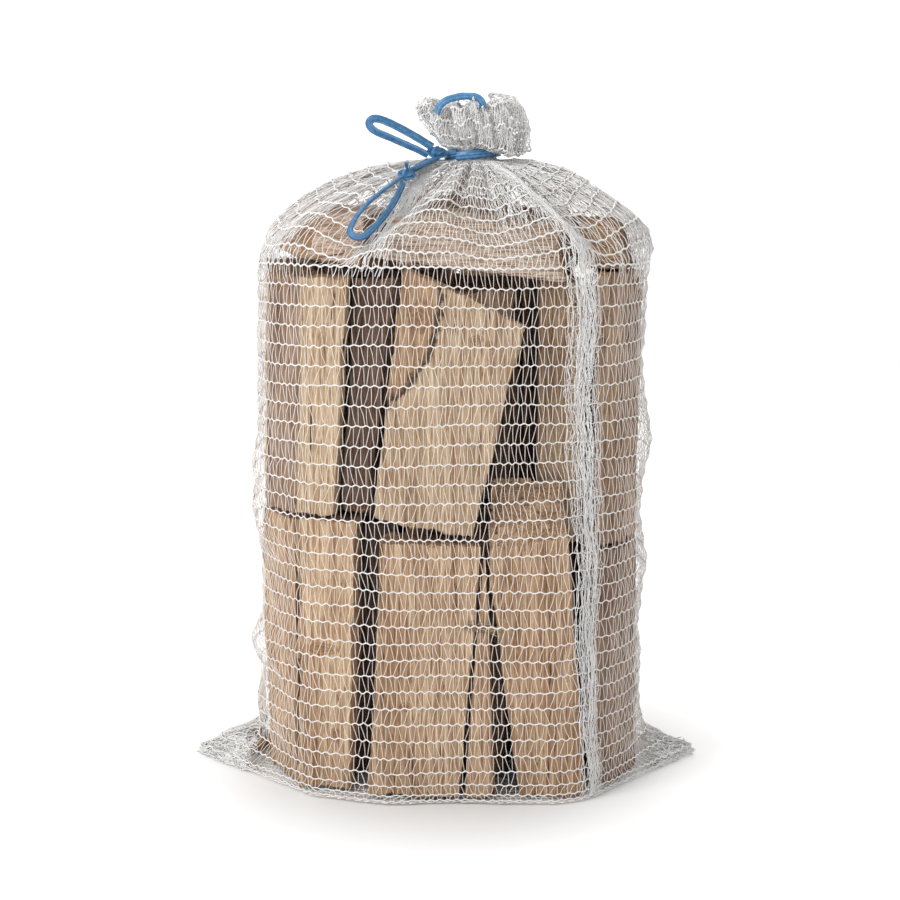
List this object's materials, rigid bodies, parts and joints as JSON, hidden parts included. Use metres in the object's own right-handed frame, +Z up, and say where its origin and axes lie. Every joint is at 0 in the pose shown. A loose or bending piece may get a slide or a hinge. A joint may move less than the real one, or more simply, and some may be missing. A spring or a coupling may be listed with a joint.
{
  "type": "firewood bundle",
  "caption": "Net sack of split firewood standing upright: logs in two tiers with more lying on top, the neck gathered and tied shut with blue tape.",
  "frame": {"origin": "on the floor under the middle of the sack, half way between its two bottom ears", "axes": "+Z up to the tied neck, +X towards the right ear seen from the front, -Y towards the front"},
  "size_m": [0.538, 0.3387, 0.7065],
  "materials": {
    "split_wood": "rough split pale wood",
    "bark_wood": "rough brown bark and shaded wood",
    "net_yarn": "knitted white plastic tape yarn",
    "blue_tape": "folded blue plastic tape with a soft sheen"
  },
  "bodies": {
    "root": {"bow_lower": "blue_tape", "bow_upper": "blue_tape", "ear_chip": "split_wood", "hem_tape": "blue_tape", "lower_log_back_1": "split_wood", "lower_log_back_2": "split_wood", "lower_log_back_3": "split_wood", "lower_log_back_4": "split_wood", "lower_log_back_5": "split_wood", "lower_log_front_left": "split_wood", "lower_log_front_middle": "split_wood", "lower_log_front_right": "split_wood", "lower_log_left_side": "split_wood", "lower_log_middle": "split_wood", "lower_log_middle_left": "split_wood", "lower_log_middle_right": "split_wood", "lower_log_right_side": "split_wood", "net_bag": "net_yarn", "second_knot": "blue_tape", "splinter": "split_wood", "strand_far": "blue_tape", "strand_near": "blue_tape", "tie_knot": "blue_tape", "tie_wrap": "blue_tape", "top_log_back": "split_wood", "top_log_left": "split_wood", "top_log_middle": "split_wood", "top_log_right": "split_wood", "top_log_right_side": "split_wood", "upper_bark_strip": "bark_wood", "upper_log_back_1": "split_wood", "upper_log_back_2": "split_wood", "upper_log_back_3": "split_wood", "upper_log_back_4": "split_wood", "upper_log_back_5": "split_wood", "upper_log_front_left": "split_wood", "upper_log_front_middle": "split_wood", "upper_log_front_right": "split_wood", "upper_log_middle": "split_wood", "upper_log_middle_left": "split_wood", "upper_log_middle_right": "split_wood", "upper_log_right_side": "split_wood"}
  },
  "joints": []
}
